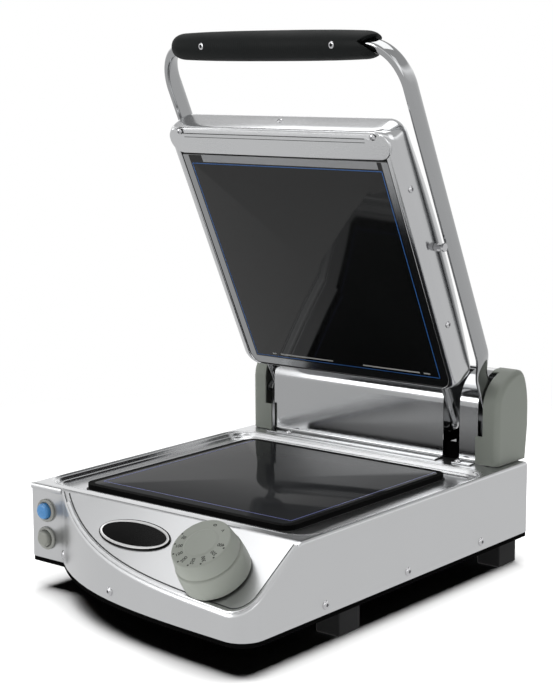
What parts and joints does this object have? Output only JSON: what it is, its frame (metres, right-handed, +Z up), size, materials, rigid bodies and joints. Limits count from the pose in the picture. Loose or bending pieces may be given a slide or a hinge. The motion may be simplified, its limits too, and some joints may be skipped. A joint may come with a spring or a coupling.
{
  "type": "contact grill",
  "caption": "Countertop contact grill: glass ceramic plate in a sheet steel base and another in a spring balanced lid on a bent tube handle, with dial and push buttons.",
  "frame": {"origin": "On the floor under the middle of the grill's box, which stands on its four feet with the lid open.", "axes": "+X to the cook's right, +Y to the back where the hinge is, +Z up."},
  "size_m": [0.331, 0.4684, 0.5296],
  "materials": {
    "brushed_stainless": "satin stainless sheet with fine brushing",
    "polished_stainless": "polished stainless tube",
    "chrome": "bright screws, rings and bezels",
    "zinc_steel": "zinc plated inner steel",
    "grey_green_plastic": "fine matt grey green moulding",
    "grip_plastic": "finely ribbed dark moulding",
    "black_plastic": "matt black moulding",
    "lower_ceramic_glass": "dark glass ceramic, glossy",
    "lid_ceramic_glass": "dark glass ceramic, glossy",
    "black_rubber": "heat proof seal",
    "insulation_board": "pressed fibre board",
    "heater_element": "oxidised heating rod",
    "blue_cap": "blue translucent cap",
    "grey_cap": "grey cap",
    "bronze": "sintered bronze and brass"
  },
  "bodies": {
    "base": {"badge_plate": "black_plastic", "badge_ring": "chrome", "base_housing": "brushed_stainless", "bottom_tray": "black_plastic", "cable_gland": "black_plastic", "foot_front_left": "black_plastic", "foot_front_right": "black_plastic", "foot_rear_left": "black_plastic", "foot_rear_right": "black_plastic", "hinge_bracket_left": "zinc_steel", "hinge_bracket_right": "zinc_steel", "hinge_bush_left": "bronze", "hinge_bush_right": "bronze", "lower_element": "heater_element", "lower_glass": "lower_ceramic_glass", "lower_glass_seal": "black_rubber", "lower_heater_pan": "zinc_steel", "lower_insulation": "insulation_board", "power_bezel": "grey_cap", "power_switch": "black_plastic", "rear_cover": "brushed_stainless", "rear_cover_screw_left": "chrome", "rear_cover_screw_right": "chrome", "start_bezel": "grey_cap", "start_switch": "black_plastic", "terminal_block": "black_plastic", "thermostat_body": "bronze", "thermostat_nut": "zinc_steel", "torsion_spring_left": "zinc_steel", "torsion_spring_right": "zinc_steel", "tower_cover_left": "grey_green_plastic", "tower_cover_right": "grey_green_plastic"},
    "arms": {"handle_frame": "polished_stainless", "grip_front": "grip_plastic", "grip_rear": "grip_plastic", "grip_screw_left": "chrome", "grip_screw_right": "chrome", "hinge_axle_left": "zinc_steel", "hinge_axle_right": "zinc_steel", "circlip_left": "zinc_steel", "circlip_right": "zinc_steel"},
    "lid": {"bar_gasket_left": "black_rubber", "bar_gasket_right": "black_rubber", "cable_guide_tube": "polished_stainless", "front_bar": "brushed_stainless", "lid_element": "heater_element", "lid_glass": "lid_ceramic_glass", "lid_heater_pan": "zinc_steel", "lid_housing": "brushed_stainless", "lid_insulation": "insulation_board", "pivot_bolt_left": "chrome", "pivot_bolt_right": "chrome", "pivot_nut_left": "zinc_steel", "pivot_nut_right": "zinc_steel", "tube_saddle": "black_plastic"},
    "knob": {"knob": "grey_green_plastic", "knob_shaft": "zinc_steel"},
    "power_push": {"power_button": "blue_cap"},
    "start_push": {"start_button": "grey_cap"}
  },
  "joints": [
    {"name": "lid_hinge", "type": "hinge", "parent": "base", "child": "arms", "pos_m": [0, 0.20162, 0.147], "axis": [-1, 0, 0], "range_deg": [-63, 5], "stiffness_Nm_per_rad": 4.1, "springref_deg": 65.72},
    {"name": "lid_tilt", "type": "hinge", "parent": "arms", "child": "lid", "pos_m": [0, 0.09076, 0.32998], "axis": [1, 0, 0], "range_deg": [-1, 3]},
    {"name": "knob_spin", "type": "hinge", "parent": "base", "child": "knob", "pos_m": [0.1095, -0.19073, 0.07658], "axis": [0, -0.5519, 0.8339], "range_deg": [0, 270]},
    {"name": "power_press", "type": "slide", "parent": "base", "child": "power_push", "axis": [0, 1, 0], "range_m": [0, 0.003], "stiffness_N_per_m": 300, "springref_m": -0.002},
    {"name": "start_press", "type": "slide", "parent": "base", "child": "start_push", "axis": [0, 1, 0], "range_m": [0, 0.003], "stiffness_N_per_m": 300, "springref_m": -0.002}
  ]
}
